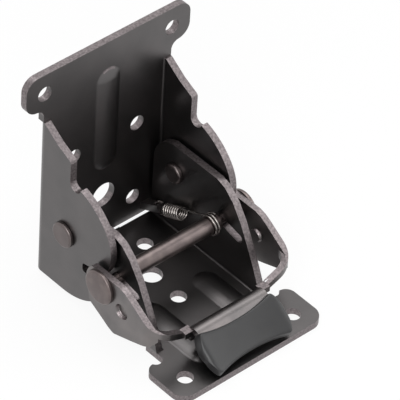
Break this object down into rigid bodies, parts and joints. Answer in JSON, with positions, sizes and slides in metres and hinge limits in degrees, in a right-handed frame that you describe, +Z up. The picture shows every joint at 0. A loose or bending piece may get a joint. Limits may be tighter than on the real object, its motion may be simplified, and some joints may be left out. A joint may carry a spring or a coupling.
{
  "type": "folding table bracket",
  "caption": "Pressed steel folding bracket for a table leg: two hinged leaves locked open at a right angle by a sprung cross rod with a rubber-gripped release lever.",
  "frame": {"origin": "The centre of the large hole in the lying leaf, on its bottom mounting face (z = 0). The upright leaf's mounting face is y = 26.9 mm.", "axes": "+X across the bracket along the hinge, +Y out of the upright leaf's mounting face, +Z up."},
  "size_m": [0.067, 0.077, 0.0829],
  "materials": {
    "dark_steel": "black nickel over pressed steel",
    "bright_steel": "plated wire and bar",
    "grip_rubber": "moulded dark gray rubber"
  },
  "bodies": {
    "lower": {"lower_plate": "dark_steel", "hinge_rivet_left": "dark_steel", "hinge_rivet_right": "dark_steel", "hinge_washer_left": "dark_steel", "hinge_washer_right": "dark_steel", "return_spring": "bright_steel"},
    "upper": {"upper_plate": "dark_steel"},
    "lever": {"release_lever": "dark_steel", "lock_rod": "bright_steel", "rubber_grip": "grip_rubber"}
  },
  "joints": [
    {"name": "fold", "type": "hinge", "parent": "lower", "child": "upper", "pos_m": [0, 0.0128, 0.0258], "axis": [1, 0, 0], "range_deg": [0, 90]},
    {"name": "release", "type": "slide", "parent": "lower", "child": "lever", "axis": [0, -0.9781, -0.2079], "range_m": [0, 0.009], "deforming": ["return_spring"]}
  ],
  "couplings": [
    {"joint": "release", "follows": "fold", "m_per_rad": 0.0057296}
  ]
}
